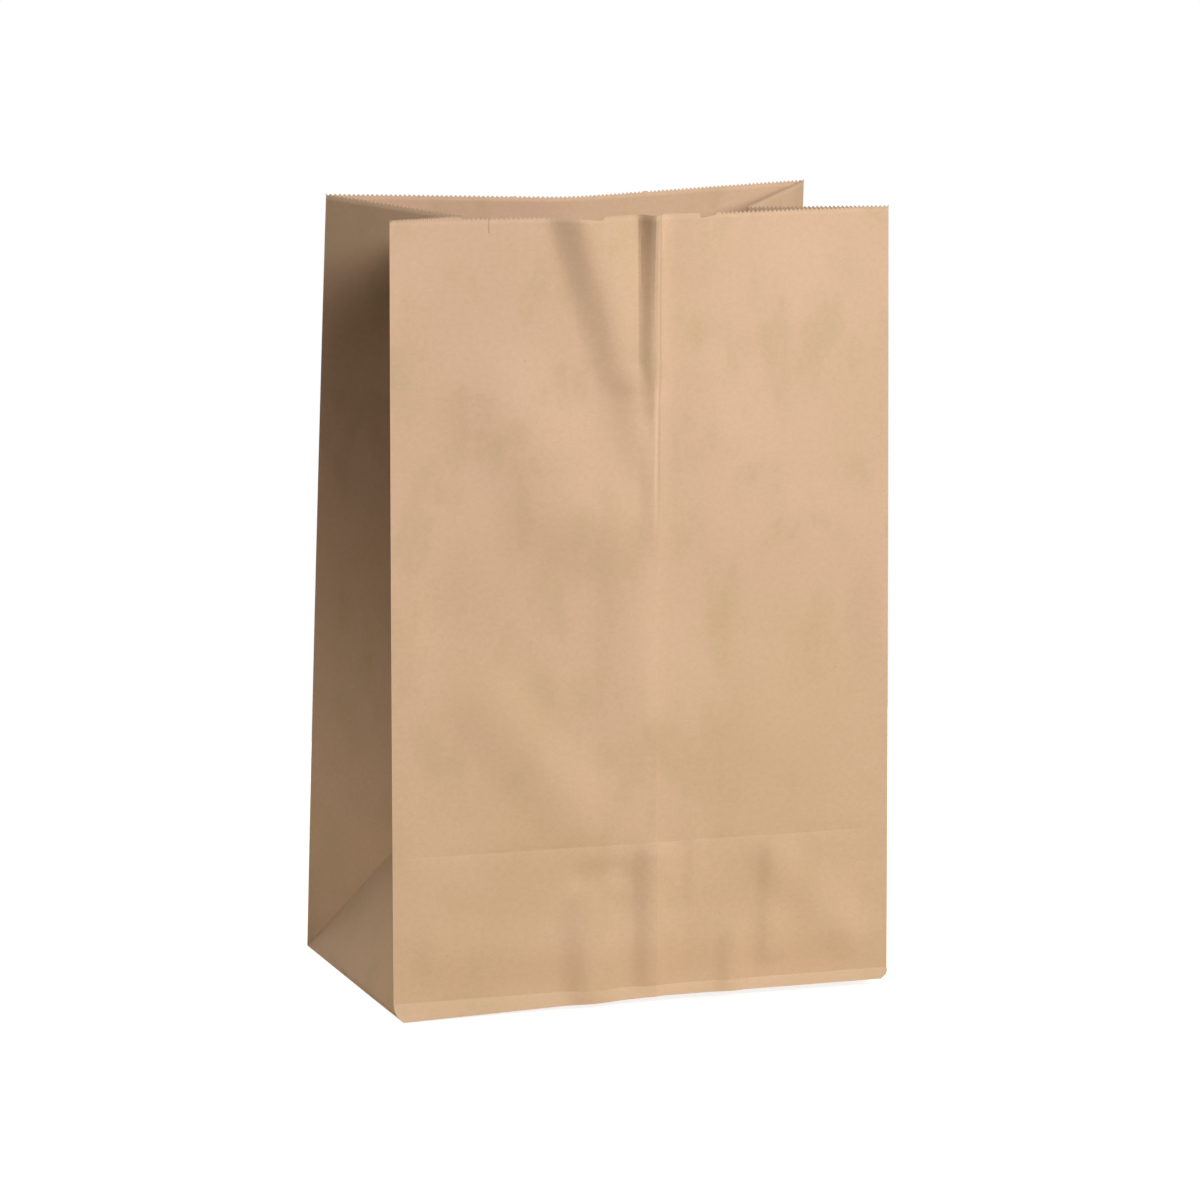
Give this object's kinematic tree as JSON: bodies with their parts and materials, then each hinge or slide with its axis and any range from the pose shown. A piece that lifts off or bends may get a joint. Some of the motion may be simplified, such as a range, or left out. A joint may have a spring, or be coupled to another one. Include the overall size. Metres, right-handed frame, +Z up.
{
  "type": "paper bag",
  "caption": "Kraft paper grocery sack standing open: flat glued bottom, side gussets pinched inwards, lap seam down the front, pinked mouth with a thumb tab.",
  "frame": {"origin": "on the floor, below the middle of the flat bottom", "axes": "+Z up to the mouth, -Y out of the front panel that carries the lap seam and thumb tab, +X to the right of someone who faces that panel"},
  "size_m": [0.2846, 0.1753, 0.4319],
  "materials": {
    "kraft_paper": "matt unbleached kraft paper"
  },
  "bodies": {
    "root": {"paper_bag": "kraft_paper"}
  },
  "joints": []
}
